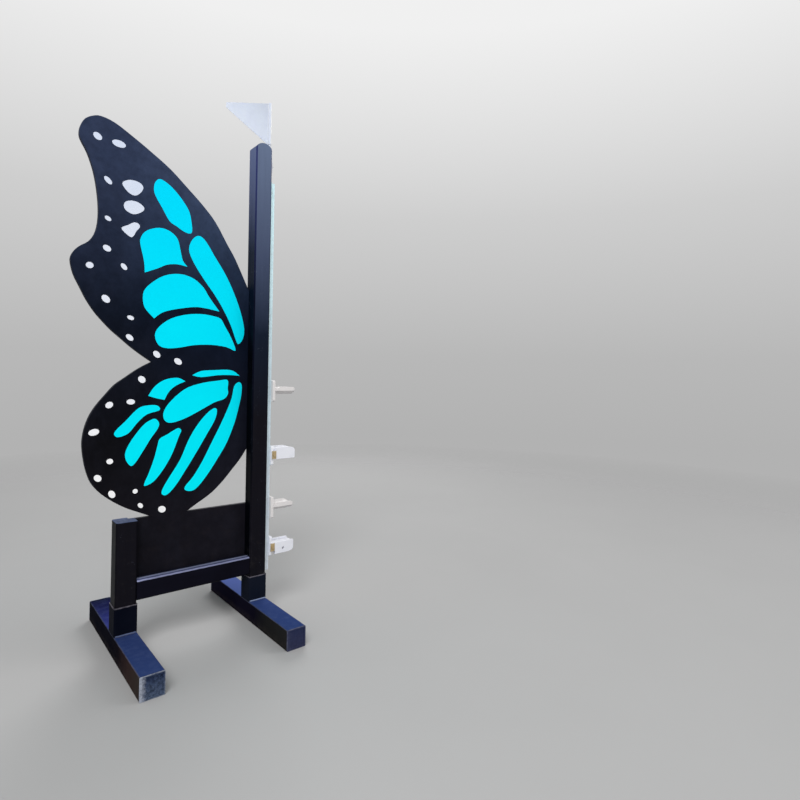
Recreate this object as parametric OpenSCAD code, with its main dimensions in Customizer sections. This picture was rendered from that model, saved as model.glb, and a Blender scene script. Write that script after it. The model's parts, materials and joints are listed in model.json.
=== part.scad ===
// Show jump wing: timber posts on steel tube feet, a butterfly panel let into the
// timbers, a keyhole track carrying four pole cups, and a small corner flag.
// X runs along the poles towards the jump, Y to the back, Z up.
// The origin is on the floor under the middle of the main post.

/* [Feet and sockets] */
// Outside width of the square steel tube
tube_w = 70; // [60:1:90]
// Wall of the tube
tube_wall = 2; // [1.5:0.5:4]
// Outside corner radius of the tube
tube_corner_r = 4; // [3:0.5:8]
// Length of a foot over its end plugs
foot_l = 665; // [450:5:900]
// Height of a socket above its foot
socket_h = 92; // [70:1:140]
// Leg of the weld in front of and behind a socket
weld_leg = 4; // [2:0.5:8]
// Thickness of an end plug's rim
plug_rim_t = 4; // [2:0.5:8]
// Depth of an end plug inside the tube
plug_depth = 18; // [10:1:30]
// Wall of an end plug inside the tube
plug_wall = 3; // [2:0.5:5]
// Depth of the dish in an end plug's face
plug_dish = 1.5; // [0.5:0.5:3]
// Flat border round that dish
plug_border = 8; // [5:1:12]
// Play of an end plug in the tube, each side
plug_play = 0.2; // [0.1:0.1:0.5]
// Height of the lower socket screw above the foot
socket_screw_low = 18; // [12:1:30]
// Height of the upper socket screw above the foot
socket_screw_high = 71; // [50:1:90]

/* [Timbers] */
// Play of a post in its socket, each side
post_play = 0.3; // [0.1:0.1:1]
// Height of the main post's crown above the floor
post_top_z = 1800; // [1500:10:2000]
// Distance between the two posts, middle to middle
post_spacing = 457; // [380:1:700]
// Height of the short outer post above the floor
outer_post_top_z = 434; // [380:1:600]
// Rise of the main post's arched crown
crown_rise = 20; // [10:1:30]
// Chamfer on the long edges of the timbers
edge_ease = 5; // [2:0.5:8]
// Height of the rail's top above the floor
rail_top_z = 237; // [220:1:300]
// Height of the rail
rail_h = 66; // [50:1:70]
// Length of the rail's tenons
tenon_l = 25; // [15:1:35]
// Thickness of the rail's tenons
tenon_t = 22; // [15:1:25]
// Height of the rail's tenons
tenon_h = 40; // [30:1:48]
// Play round a tenon, each side
tenon_play = 0.3; // [0.1:0.1:0.6]

/* [Panel] */
// Thickness of the sheet
panel_t = 18; // [12:1:25]
// Width that the sheet is let into the timbers
panel_lap = 18; // [12:1:24]
// Play at the sheet's edges in the timbers
panel_play = 0.5; // [0.2:0.1:1]
// Height of the plain board's top edge above the floor
board_top_z = 430; // [360:1:580]
// Reach of the butterfly figure outwards from the main post
figure_w = 592; // [450:1:800]
// Height of the butterfly figure above the board
figure_h = 1315; // [1000:1:1400]
// Thickness of the colour film
film_t = 0.5; // [0.3:0.1:1]
// Length of a usual white spot
spot_d = 28; // [15:1:40]

/* [Cup track] */
// Width of the track over its flanges
track_w = 56; // [50:1:62]
// Width of the track's raised web
track_web_w = 36; // [30:1:40]
// Depth of the track
track_depth = 18; // [14:0.5:25]
// Thickness of the track's sheet
track_wall = 2; // [1.5:0.25:3]
// Height of the track's lower end above the floor
track_bottom_z = 170; // [165:1:300]
// Height of the track's upper end above the floor
track_top_z = 1660; // [1200:5:1680]
// Spacing of the keyholes
key_pitch = 50; // [40:1:80]
// Diameter of a keyhole's head
key_head_d = 20; // [16:0.5:24]
// Width of a keyhole's slot
key_slot_w = 11; // [8:0.5:13]
// Drop from the head's middle to the slot's middle
key_drop = 18; // [12:0.5:22]
// Height of the lowest keyhole's head above the track's end
key_first = 31; // [25:1:60]
// Rows of screws along the track
track_screw_rows = 7; // [4:1:10]
// Distance of the end screws from the track's ends
track_screw_end = 40; // [20:1:60]

/* [Cups] */
// Keyhole that the top cup's lower stud sits in, counted from nought
top_cup_hole = 13; // [11:1:26]
// Keyhole of the middle cup's lower stud
mid_cup_hole = 8; // [7:1:9]
// Keyhole of the low cup's lower stud
low_cup_hole = 4; // [4:1:5]
// Keyhole of the base cup's lower stud
base_cup_hole = 1; // [1:1:1]
// Width of a cup
cup_w = 62; // [54:1:80]
// Thickness of a cup's back plate
plate_t = 11; // [8:0.5:15]
// Height of the flat cup's back plate
flat_plate_h = 82; // [76:1:96]
// Reach of the flat cup beyond its plate
flat_l = 83; // [60:1:110]
// Height of the flat cup's tray
flat_h = 29; // [24:1:40]
// Tray's underside below the middle of the plate
flat_drop = 13; // [6:1:16]
// Rise of the tray's rounded belly at its sides
belly_rise = 14; // [6:1:20]
// Height of the deep cup's back plate
deep_plate_h = 74; // [70:1:90]
// Reach of the deep cup beyond its plate
deep_l = 89; // [70:1:110]
// Height of the deep cup's block
deep_h = 45; // [40:1:60]
// Height of the deep cup's lips above the middle of its plate
deep_rise = 31; // [28:1:36]
// Length of the lug that the block is bolted to
lug_l = 9; // [7:0.5:12]
// Space between the lug and the block
lug_gap = 0.3; // [0.2:0.1:1]
// Thickness of the deep cup's cheeks beside the plate
cheek_t = 6; // [4:0.5:8]
// Side play between the cheeks and the plate
cheek_play = 0.3; // [0.1:0.1:0.6]
// Width of the pole seat across the cup
seat_w = 48; // [40:1:60]
// Depth of the round pole seat
seat_depth = 8; // [6:0.5:12]
// Depth of the flat plank seat under the deep cup
plank_depth = 6; // [5:0.5:10]
// Corner radius of the cups' plates
plate_corner_r = 6; // [3:0.5:10]
// Diameter of the blind hole in the deep cup's side
side_hole_d = 9; // [5:0.5:12]
// Depth of that hole
side_hole_depth = 12; // [6:1:18]
// Diameter of a stud's shank
stud_d = 10; // [7:0.5:11]
// Diameter of a stud's head
stud_head_d = 18; // [14:0.5:19]
// Thickness of a stud's head
stud_head_t = 4; // [3:0.5:6]
// Diameter of a stud's riveted tail
stud_tail_d = 8; // [5:0.5:9]
// Space between a cup and the track
cup_gap = 0.4; // [0.3:0.1:1]
// Play of a stud's tail in the plate, each side
tail_play = 0.05; // [0.02:0.01:0.1]
// Diameter of the deep cup's cross bolt
bolt_d = 6; // [4:0.5:6]
// Width of the cross bolt's head and nut across corners
bolt_head_d = 12; // [9:0.5:14]
// Thickness of the cross bolt's head and nut
bolt_head_t = 5; // [3:0.5:7]
// Width of the oblong washer plates under them
washer_w = 17; // [14:0.5:20]
// Height of those plates, of the lug and of the cheeks
washer_h = 30; // [24:0.5:32]
// Thickness of those plates
washer_t = 2; // [1:0.5:3]
// Height of the cross bolt above the plate's middle
bolt_up = 3; // [1:0.5:8]
// Play of the cross bolt in its holes, each side
bolt_play = 0.1; // [0.05:0.05:0.3]

/* [Flag] */
// Height of the holder's lower face above the floor
holder_z = 1710; // [1690:1:1740]
// Width of the flag holder
holder_w = 28; // [26:1:36]
// Height of the flag holder
holder_h = 40; // [30:1:50]
// Depth of the flag holder
holder_t = 16; // [14:1:24]
// Offset of the flag towards the back
flag_back = 12; // [0:1:13]
// Diameter of the flag's rod
rod_d = 10; // [6:0.5:11]
// Height of the rod above the holder's lower face
rod_rise = 266; // [230:1:320]
// Floor of the holder under the rod
holder_floor = 6; // [4:0.5:10]
// Play of the rod in the holder, each side
rod_play = 0.05; // [0.02:0.01:0.1]
// Space under and over the rod's ends
rod_end_gap = 0.3; // [0.2:0.1:0.6]
// Outside diameter of the flag's sleeve
sleeve_d = 14; // [12.5:0.5:18]
// Play of the sleeve round the rod, each side
sleeve_play = 0.1; // [0.05:0.01:0.1]
// Closed end of the sleeve over the rod
sleeve_cap = 5; // [3:0.5:10]
// Height of the flag
flag_h = 162; // [120:1:165]
// Length of the flag from the rod's axis
flag_l = 170; // [100:1:250]
// Height of the flag's blunt tip
flag_tip = 20; // [10:1:40]
// Thickness of the flag
flag_t = 3; // [2:0.5:5]
// Turn of the flag at rest, in degrees from the poles' direction
flag_turn = 142; // [0:1:359]
// Spacing of the holder's screws
holder_screw_pitch = 19; // [17:0.5:22]

/* [Screws] */
// Diameter of the screws' shanks
screw_d = 5; // [4:0.5:6]
// Diameter of the screws' heads
screw_head_d = 9; // [7:0.5:10]
// Height of the screws' heads
screw_head_t = 3.5; // [2:0.5:5]
// Width of the drive recess across corners
screw_drive_d = 4; // [2:0.5:5]
// Depth of the drive recess
screw_drive_t = 2; // [1:0.5:3]
// Length of a screw into the timber
screw_bite = 24; // [16:1:28]
// Play of a screw in its hole, each side
screw_play = 0.1; // [0.05:0.05:0.3]

/* [Hidden] */
$fn = 48;
// Overrun of every cut
over = 1;
// Steps along each stretch of a curve
curve_steps = 3;
// Sides of a white spot
spot_sides = 14;

post_w = tube_w - 2 * tube_wall - 2 * post_play;
post_r = post_w / 2;
crown_r = (post_r * post_r + crown_rise * crown_rise) / (2 * crown_rise);
panel_front_y = post_r - panel_t;
panel_bottom_z = rail_top_z - panel_lap;
outer_in_x = -post_spacing + post_r;
lap_in_x = -post_r + panel_lap;
lap_out_x = outer_in_x - panel_lap;
rail_l = post_spacing - post_w;

web_x = post_r + track_depth;
key_first_z = track_bottom_z + key_first;
key_count = floor((track_top_z - key_first - key_first_z) / key_pitch) + 1;
plate_x = web_x + cup_gap;
tray_top = flat_h - flat_drop;
belly_r = (cup_w * cup_w / 4 + belly_rise * belly_rise) / (2 * belly_rise);
deep_plate_w = cup_w - 2 * cheek_t - 2 * cheek_play;
deep_low = deep_rise - deep_h;
block_x = plate_t + lug_l + lug_gap;
block_l = deep_l - lug_l - lug_gap;
seat_r = (seat_w * seat_w / 4 + seat_depth * seat_depth) / (2 * seat_depth);
bolt_x = (plate_t + lug_l) / 2;

rod_x = post_r + holder_t / 2;
rod_top_z = holder_z + rod_rise;
rod_bottom_z = holder_z + holder_floor + rod_end_gap;
flag_top_z = rod_top_z + rod_end_gap + sleeve_cap;

track_screw_y = (track_w + track_web_w) / 4;
track_screw_step = (track_top_z - track_bottom_z - 2 * track_screw_end) / (track_screw_rows - 1);

// Figure points: share of the reach outwards from the post, share of the height
forewing_shares = [
    [0.000, 0.617], [0.092, 0.700], [0.147, 0.739], [0.224, 0.795], [0.305, 0.835],
    [0.401, 0.874], [0.496, 0.911], [0.599, 0.942], [0.702, 0.970], [0.797, 0.993],
    [0.867, 1.000], [0.908, 0.995], [0.944, 0.983], [0.964, 0.965], [0.970, 0.947],
    [0.963, 0.932], [0.930, 0.904], [0.900, 0.864], [0.882, 0.822], [0.872, 0.777],
    [0.874, 0.739], [0.889, 0.709], [0.919, 0.688], [0.959, 0.674], [0.985, 0.660],
    [1.000, 0.640], [0.985, 0.607], [0.955, 0.578], [0.922, 0.548], [0.882, 0.520],
    [0.841, 0.498], [0.797, 0.477], [0.746, 0.457], [0.695, 0.437], [0.636, 0.417],
    [0.584, 0.401]];
hindwing_out_shares = [
    [0.584, 0.401], [0.628, 0.390], [0.672, 0.377], [0.724, 0.359], [0.775, 0.341],
    [0.819, 0.317], [0.863, 0.291], [0.893, 0.268], [0.915, 0.241], [0.926, 0.215],
    [0.928, 0.191], [0.919, 0.157], [0.904, 0.127], [0.882, 0.101], [0.845, 0.078],
    [0.797, 0.058], [0.746, 0.041], [0.695, 0.027], [0.636, 0.014], [0.573, 0.000]];
hindwing_in_shares = [
    [0.370, 0.000], [0.313, 0.0165], [0.269, 0.028], [0.224, 0.041], [0.180, 0.058],
    [0.136, 0.078], [0.092, 0.101], [0.048, 0.124], [0.019, 0.142], [0.000, 0.156]];

// Blue cells: each is a ring of smooth stretches that meet at corners
cell_shares = [
    [[[0.551, 0.879], [0.500, 0.868], [0.446, 0.846], [0.393, 0.815], [0.376, 0.790],
      [0.368, 0.760], [0.380, 0.751], [0.415, 0.753], [0.460, 0.764], [0.500, 0.774],
      [0.540, 0.803], [0.583, 0.835], [0.590, 0.856], [0.577, 0.873], [0.551, 0.879]]],
    [[[0.631, 0.630], [0.636, 0.658], [0.652, 0.690], [0.659, 0.712], [0.636, 0.734],
      [0.590, 0.747], [0.540, 0.752], [0.490, 0.746], [0.452, 0.730], [0.434, 0.700],
      [0.420, 0.675], [0.392, 0.660]],
     [[0.392, 0.660], [0.450, 0.663], [0.510, 0.658], [0.562, 0.645], [0.631, 0.630]]],
    [[[0.320, 0.749], [0.280, 0.735], [0.228, 0.700], [0.158, 0.654], [0.103, 0.607],
      [0.056, 0.555], [0.028, 0.505], [0.036, 0.475], [0.064, 0.459], [0.082, 0.470],
      [0.118, 0.512], [0.166, 0.553], [0.221, 0.591], [0.287, 0.629], [0.349, 0.669],
      [0.382, 0.700], [0.380, 0.722], [0.355, 0.742], [0.320, 0.749]]],
    [[[0.576, 0.514], [0.624, 0.537], [0.638, 0.558], [0.634, 0.582], [0.599, 0.603],
      [0.526, 0.628], [0.437, 0.638], [0.357, 0.631], [0.295, 0.610], [0.258, 0.585],
      [0.191, 0.547]],
     [[0.191, 0.547], [0.260, 0.552], [0.330, 0.554], [0.400, 0.549], [0.480, 0.540],
      [0.535, 0.530], [0.576, 0.514]]],
    [[[0.083, 0.440], [0.144, 0.449], [0.239, 0.453], [0.342, 0.450], [0.423, 0.442],
      [0.496, 0.438], [0.548, 0.445], [0.570, 0.470], [0.548, 0.493], [0.482, 0.517],
      [0.393, 0.531], [0.305, 0.536], [0.224, 0.533], [0.182, 0.527], [0.158, 0.510],
      [0.111, 0.474], [0.083, 0.440]]],
    [[[0.352, 0.368], [0.298, 0.380], [0.217, 0.383], [0.140, 0.385], [0.092, 0.381],
      [0.052, 0.368]],
     [[0.052, 0.368], [0.110, 0.370], [0.195, 0.369], [0.298, 0.363], [0.352, 0.368]]],
    [[[0.600, 0.313], [0.566, 0.337], [0.515, 0.354], [0.460, 0.360], [0.425, 0.359],
      [0.392, 0.351]],
     [[0.392, 0.351], [0.445, 0.340], [0.485, 0.324], [0.510, 0.302]],
     [[0.510, 0.302], [0.560, 0.307], [0.600, 0.313]]],
    [[[0.140, 0.357], [0.127, 0.350], [0.130, 0.332], [0.127, 0.318], [0.150, 0.303],
      [0.215, 0.293], [0.300, 0.272], [0.393, 0.251], [0.470, 0.241], [0.507, 0.248],
      [0.515, 0.267], [0.490, 0.290], [0.430, 0.318], [0.370, 0.336], [0.280, 0.348],
      [0.190, 0.354], [0.140, 0.357]]],
    [[[0.537, 0.275], [0.545, 0.286], [0.575, 0.289], [0.630, 0.286], [0.665, 0.276],
      [0.717, 0.250], [0.768, 0.226], [0.772, 0.215], [0.750, 0.210], [0.700, 0.219],
      [0.658, 0.243], [0.606, 0.265], [0.537, 0.275]]],
    [[[0.559, 0.253], [0.538, 0.242], [0.545, 0.227], [0.581, 0.203], [0.628, 0.167],
      [0.665, 0.141], [0.688, 0.136], [0.712, 0.152], [0.714, 0.173], [0.680, 0.204],
      [0.625, 0.237], [0.590, 0.249], [0.559, 0.253]]],
    [[[0.426, 0.226], [0.411, 0.219], [0.425, 0.203], [0.460, 0.160], [0.507, 0.121],
      [0.560, 0.091], [0.606, 0.081], [0.613, 0.087], [0.590, 0.112], [0.563, 0.148],
      [0.545, 0.181], [0.533, 0.200], [0.490, 0.211], [0.450, 0.222], [0.426, 0.226]]],
    [[[0.206, 0.277], [0.196, 0.268], [0.210, 0.243], [0.254, 0.208], [0.316, 0.160],
      [0.379, 0.114], [0.437, 0.074], [0.485, 0.052], [0.514, 0.054], [0.512, 0.068],
      [0.474, 0.098], [0.415, 0.141], [0.372, 0.188], [0.327, 0.225], [0.276, 0.255],
      [0.232, 0.273], [0.206, 0.277]]],
    [[[0.059, 0.350], [0.038, 0.342], [0.040, 0.312], [0.056, 0.278], [0.081, 0.235],
      [0.129, 0.180], [0.180, 0.141], [0.243, 0.098], [0.305, 0.064], [0.345, 0.054],
      [0.384, 0.059], [0.378, 0.071], [0.335, 0.093], [0.283, 0.131], [0.235, 0.174],
      [0.177, 0.226], [0.136, 0.266], [0.103, 0.304], [0.088, 0.338], [0.059, 0.350]]]];

// Three large white spots
blot_shares = [
    [[0.757, 0.846], [0.731, 0.857], [0.698, 0.860], [0.661, 0.856], [0.647, 0.845],
     [0.665, 0.830], [0.693, 0.822], [0.728, 0.828], [0.757, 0.846]],
    [[0.747, 0.793], [0.735, 0.803], [0.702, 0.808], [0.665, 0.805], [0.639, 0.794],
     [0.658, 0.782], [0.698, 0.774], [0.737, 0.781], [0.747, 0.793]],
    [[0.757, 0.734], [0.724, 0.744], [0.695, 0.753], [0.672, 0.753], [0.661, 0.745],
     [0.680, 0.732], [0.691, 0.721], [0.706, 0.715], [0.731, 0.721], [0.757, 0.734]]];

// White spots: place, then length and width as shares of a usual spot, then turn in degrees
spot_shares = [
    [0.883, 0.948, 1.00, 0.75, -35], [0.777, 0.943, 1.50, 0.82, -5],
    [0.828, 0.846, 1.07, 0.57, -45], [0.825, 0.752, 0.75, 0.50, -30],
    [0.827, 0.678, 0.93, 0.68, -30], [0.909, 0.631, 0.79, 0.71, 0],
    [0.740, 0.638, 0.89, 0.54, -50], [0.828, 0.553, 1.04, 0.75, -45],
    [0.701, 0.511, 0.79, 0.50, -20], [0.704, 0.461, 0.96, 0.61, -40],
    [0.558, 0.421, 1.00, 0.68, -45], [0.437, 0.404, 1.04, 0.71, -35],
    [0.636, 0.355, 0.93, 0.75, -45], [0.801, 0.291, 0.86, 0.71, 35],
    [0.692, 0.298, 0.93, 0.64, 0], [0.874, 0.225, 1.14, 0.75, 15],
    [0.793, 0.151, 0.71, 0.64, 0], [0.851, 0.112, 0.89, 0.71, -45],
    [0.780, 0.069, 0.96, 0.68, -60], [0.660, 0.070, 0.57, 0.57, 0],
    [0.631, 0.032, 0.71, 0.50, -50], [0.513, 0.015, 0.93, 0.79, -30]];

// Side of the flat cup's tray: share of its reach, share of its height
tray_shares = [
    [0.00, 0.00], [0.90, 0.03], [0.96, 0.10], [1.00, 0.24], [1.00, 0.78], [0.97, 0.92],
    [0.90, 1.00], [0.26, 1.00], [0.10, 0.76], [0.00, 0.72]];

// Side of the deep cup's block: share of its reach, share of its height
block_shares = [
    [0.00, 0.00], [0.97, 0.00], [1.00, 0.05], [1.00, 0.66], [0.985, 0.77], [0.945, 0.86],
    [0.87, 0.935], [0.76, 0.985], [0.62, 1.00], [0.00, 1.00]];

// Blind hole in the deep cup's side: share of its reach, share of its height
side_hole_shares = [0.5, 0.6];

// Panel screws: share of the sheet's lap up the main post, share along the rail
post_screw_shares = [0.08, 0.36, 0.64, 0.92];
rail_screw_shares = [0.12, 0.37, 0.63, 0.88];
side_screw_shares = [0.35, 0.85];

// One point on a smooth curve between its second and third control points
function blend(a, b, c, d, u) =
    0.5 * (2 * b + (c - a) * u + (2 * a - 5 * b + 4 * c - d) * u * u
    + (3 * b - a - 3 * c + d) * u * u * u);

// Smooth curve from the first control point up to, but not onto, the last
function stretch(p) =
    let (n = len(p) - 1, ring = n > 5 && norm(p[0] - p[n]) == 0)
    [for (i = [0 : n - 1]) for (k = [0 : curve_steps - 1])
        blend(i > 0 ? p[i - 1] : ring ? p[n - 1] : p[0], p[i], p[i + 1],
            i < n - 1 ? p[i + 2] : ring ? p[1] : p[n], k / curve_steps)];

// Figure shares to millimetres across and up
function figure(p) = [for (q = p) [-post_r - q[0] * figure_w, board_top_z + q[1] * figure_h]];

// Height of the lower end of a keyhole's slot, counted from the lowest
function slot_z(n) = key_first_z - key_drop + n * key_pitch;

lap_low_z = board_top_z + hindwing_in_shares[len(hindwing_in_shares) - 1][1] * figure_h;
lap_high_z = board_top_z + forewing_shares[0][1] * figure_h;

// Upright bar of rounded square section standing on the origin
module rounded_bar(w, l, r) {
    translate([-w / 2 + r, -w / 2, 0])
        cube([w - 2 * r, w, l]);
    translate([-w / 2, -w / 2 + r, 0])
        cube([w, w - 2 * r, l]);
    for (x = [-1, 1], y = [-1, 1])
        translate([x * (w / 2 - r), y * (w / 2 - r), 0])
            cylinder(r = r, h = l);
}

// Length of the square tube standing on the origin
module tube(l) {
    difference() {
        rounded_bar(tube_w, l, tube_corner_r);
        translate([0, 0, -over])
            rounded_bar(tube_w - 2 * tube_wall, l + 2 * over, tube_corner_r - tube_wall);
    }
}

// Square timber with chamfered long edges
module timber(w, h, l) {
    a = w / 2;
    b = h / 2;
    e = edge_ease;
    linear_extrude(height = l)
        polygon([[-a + e, -b], [a - e, -b], [a, -b + e], [a, b - e],
            [a - e, b], [-a + e, b], [-a, b - e], [-a, -b + e]]);
}

// Flat shape drawn across and up, stood on edge with its back at y
module upright(y, t) {
    translate([0, y, 0])
        rotate([90, 0, 0])
            linear_extrude(height = t)
                children();
}

// Screw pointing down from the origin, head above
module pan_screw(l) {
    difference() {
        union() {
            translate([0, 0, -l])
                cylinder(d = screw_d, h = l + screw_head_t / 2);
            cylinder(d = screw_head_d, h = screw_head_t / 2);
            translate([0, 0, screw_head_t / 2])
                cylinder(d1 = screw_head_d, d2 = screw_d, h = screw_head_t / 2);
        }
        translate([0, 0, screw_head_t - screw_drive_t])
            cylinder(d = screw_drive_d, h = screw_drive_t + over, $fn = 6);
    }
}

// Hole for such a screw, from above its head's seat downwards
module screw_hole(l) {
    translate([0, 0, -l - screw_play])
        cylinder(d = screw_d + 2 * screw_play, h = l + screw_play + over);
}

// Places of the panel screws, pointing forwards from the sheet's back
module at_panel_screws() {
    for (s = post_screw_shares)
        translate([(lap_in_x - post_r) / 2, post_r, lap_low_z + s * (lap_high_z - lap_low_z)])
            rotate([-90, 0, 0])
                children();
    for (s = side_screw_shares) {
        translate([(lap_in_x - post_r) / 2, post_r, rail_top_z + s * (board_top_z - rail_top_z)])
            rotate([-90, 0, 0])
                children();
        translate([(lap_out_x + outer_in_x) / 2, post_r, rail_top_z + s * (board_top_z - rail_top_z)])
            rotate([-90, 0, 0])
                children();
    }
    for (s = rail_screw_shares)
        translate([outer_in_x + s * rail_l, post_r, rail_top_z - panel_lap / 2])
            rotate([-90, 0, 0])
                children();
}

// Places of the socket screws, pointing into the posts
module at_socket_screws() {
    for (h = [socket_screw_low, socket_screw_high]) {
        translate([0, tube_w / 2, tube_w + h])
            rotate([-90, 0, 0])
                children();
        translate([-post_spacing + tube_w / 2, 0, tube_w + h])
            rotate([0, 90, 0])
                children();
    }
}

// Places of the track screws, pointing into the main post
module at_track_screws() {
    for (i = [0 : track_screw_rows - 1], y = [-1, 1])
        translate([post_r + track_wall, y * track_screw_y, track_bottom_z + track_screw_end
            + i * track_screw_step])
            rotate([0, 90, 0])
                children();
}

// Places of the holder's screws, pointing into the main post
module at_holder_screws() {
    for (y = [-1, 1])
        translate([post_r + holder_t, flag_back + y * holder_screw_pitch / 2, holder_z + holder_h / 2])
            rotate([0, 90, 0])
                children();
}

// Mortise in a post for a rail tenon that points along X
module mortise() {
    translate([-tenon_l - tenon_play, -tenon_t / 2 - tenon_play,
        rail_top_z - rail_h / 2 - tenon_h / 2 - tenon_play])
        cube([tenon_l + tenon_play + over, tenon_t + 2 * tenon_play, tenon_h + 2 * tenon_play]);
}

// Space under the main post's arched crown
module crown() {
    translate([-post_w, -post_w, 0])
        cube([2 * post_w, 2 * post_w, post_top_z - crown_rise]);
    translate([0, -post_w, post_top_z - crown_r])
        rotate([-90, 0, 0])
            cylinder(r = crown_r, h = 2 * post_w, $fn = 96);
}

module main_post() {
    color([0.09, 0.09, 0.12])
        difference() {
            intersection() {
                translate([0, 0, tube_w])
                    timber(post_w, post_w, post_top_z - tube_w);
                crown();
            }
            translate([-post_r - over, panel_front_y, panel_bottom_z])
                cube([panel_lap + panel_play + over, panel_t + over,
                    lap_high_z + panel_play - panel_bottom_z]);
            translate([-post_r, 0, 0])
                rotate([0, 0, 180])
                    mortise();
            at_panel_screws()
                screw_hole(panel_t + screw_bite);
            at_socket_screws()
                screw_hole(tube_wall + screw_bite);
            at_track_screws()
                screw_hole(track_wall + screw_bite);
            at_holder_screws()
                screw_hole(holder_t + screw_bite);
        }
}

module outer_post() {
    color([0.09, 0.09, 0.12])
        difference() {
            translate([-post_spacing, 0, tube_w])
                timber(post_w, post_w, outer_post_top_z - tube_w);
            translate([lap_out_x - panel_play, panel_front_y, panel_bottom_z])
                cube([panel_lap + panel_play + over, panel_t + over,
                    outer_post_top_z - panel_bottom_z + over]);
            translate([outer_in_x, 0, 0])
                mortise();
            at_panel_screws()
                screw_hole(panel_t + screw_bite);
            at_socket_screws()
                screw_hole(tube_wall + screw_bite);
        }
}

module bottom_rail() {
    color([0.09, 0.09, 0.12])
        difference() {
            union() {
                translate([outer_in_x, 0, rail_top_z - rail_h / 2])
                    rotate([0, 90, 0])
                        timber(rail_h, post_w, rail_l);
                translate([outer_in_x - tenon_l, -tenon_t / 2, rail_top_z - rail_h / 2 - tenon_h / 2])
                    cube([rail_l + 2 * tenon_l, tenon_t, tenon_h]);
            }
            translate([outer_in_x - over, panel_front_y, panel_bottom_z])
                cube([rail_l + 2 * over, panel_t + over, panel_lap + over]);
            at_panel_screws()
                screw_hole(panel_t + screw_bite);
        }
}

module wing_panel() {
    color([0.07, 0.07, 0.1])
        difference() {
            upright(post_r, panel_t)
                polygon(concat(
                    [[lap_out_x, panel_bottom_z], [lap_in_x, panel_bottom_z], [lap_in_x, board_top_z]],
                    stretch(figure(hindwing_in_shares)),
                    [[-post_r, lap_low_z], [lap_in_x, lap_low_z], [lap_in_x, lap_high_z]],
                    stretch(figure(forewing_shares)),
                    stretch(figure(hindwing_out_shares)),
                    figure([hindwing_out_shares[len(hindwing_out_shares) - 1]]),
                    [[lap_out_x, board_top_z]]));
            at_panel_screws()
                screw_hole(panel_t + screw_bite);
            at_panel_screws()
                translate([0, 0, -screw_head_t])
                    cylinder(d = screw_head_d + 2 * screw_play, h = screw_head_t + over);
        }
}

module cell_film(y) {
    color([0, 0.88, 1])
        upright(y, film_t)
            for (c = cell_shares)
                polygon([for (p = c) each stretch(figure(p))]);
}

module spot_film(y) {
    color([0.88, 0.89, 0.94])
        upright(y, film_t) {
            for (p = blot_shares)
                polygon(stretch(figure(p)));
            for (p = spot_shares)
                translate(figure([p])[0])
                    rotate(p[4])
                        polygon([for (i = [0 : spot_sides - 1]) spot_d / 2
                            * [p[2] * cos(360 * i / spot_sides), p[3] * sin(360 * i / spot_sides)]]);
        }
}

module blue_cells_front() {
    cell_film(panel_front_y);
}

module blue_cells_back() {
    cell_film(post_r + film_t);
}

module white_spots_front() {
    spot_film(panel_front_y);
}

module white_spots_back() {
    spot_film(post_r + film_t);
}

module panel_screws() {
    color([0.6, 0.62, 0.65])
        at_panel_screws()
            translate([0, 0, -screw_head_t])
                pan_screw(panel_t + screw_bite - screw_head_t);
}

// Foot tube along Y at the given place
module foot_tube(x) {
    color([0.15, 0.17, 0.24])
        translate([x, -foot_l / 2 + plug_rim_t, tube_w / 2])
            rotate([-90, 0, 0])
                tube(foot_l - 2 * plug_rim_t);
}

// Tube stub on a foot with a weld in front and behind
module socket(x) {
    color([0.2, 0.21, 0.25])
        difference() {
            translate([x, 0, tube_w]) {
                tube(socket_h);
                for (a = [0, 180])
                    rotate([0, 0, a])
                        translate([-tube_w / 2 + tube_corner_r, tube_w / 2, 0])
                            rotate([90, 0, 90])
                                linear_extrude(height = tube_w - 2 * tube_corner_r)
                                    polygon([[0, 0], [weld_leg, 0], [0, weld_leg]]);
            }
            at_socket_screws()
                screw_hole(tube_wall + screw_bite);
        }
}

// Pair of end plugs of a foot
module foot_plugs(x) {
    inside = tube_w - 2 * tube_wall - 2 * plug_play;
    boss_r = tube_corner_r - tube_wall;
    color([0.05, 0.05, 0.06])
        for (a = [0, 180])
            translate([x, 0, tube_w / 2])
                rotate([0, 0, a])
                    translate([0, -foot_l / 2, 0])
                        rotate([-90, 0, 0])
                            difference() {
                                union() {
                                    rounded_bar(tube_w, plug_rim_t, tube_corner_r);
                                    rounded_bar(inside, plug_rim_t + plug_depth, boss_r);
                                }
                                translate([0, 0, plug_rim_t])
                                    rounded_bar(inside - 2 * plug_wall, plug_depth + over, boss_r);
                                translate([0, 0, -over])
                                    rounded_bar(tube_w - 2 * plug_border, plug_dish + over, boss_r);
                            }
}

module inner_foot_tube() {
    foot_tube(0);
}

module outer_foot_tube() {
    foot_tube(-post_spacing);
}

module inner_socket() {
    socket(0);
}

module outer_socket() {
    socket(-post_spacing);
}

module inner_foot_plugs() {
    foot_plugs(0);
}

module outer_foot_plugs() {
    foot_plugs(-post_spacing);
}

module socket_screws() {
    color([0.75, 0.77, 0.8])
        at_socket_screws()
            pan_screw(tube_wall + screw_bite);
}

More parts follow.
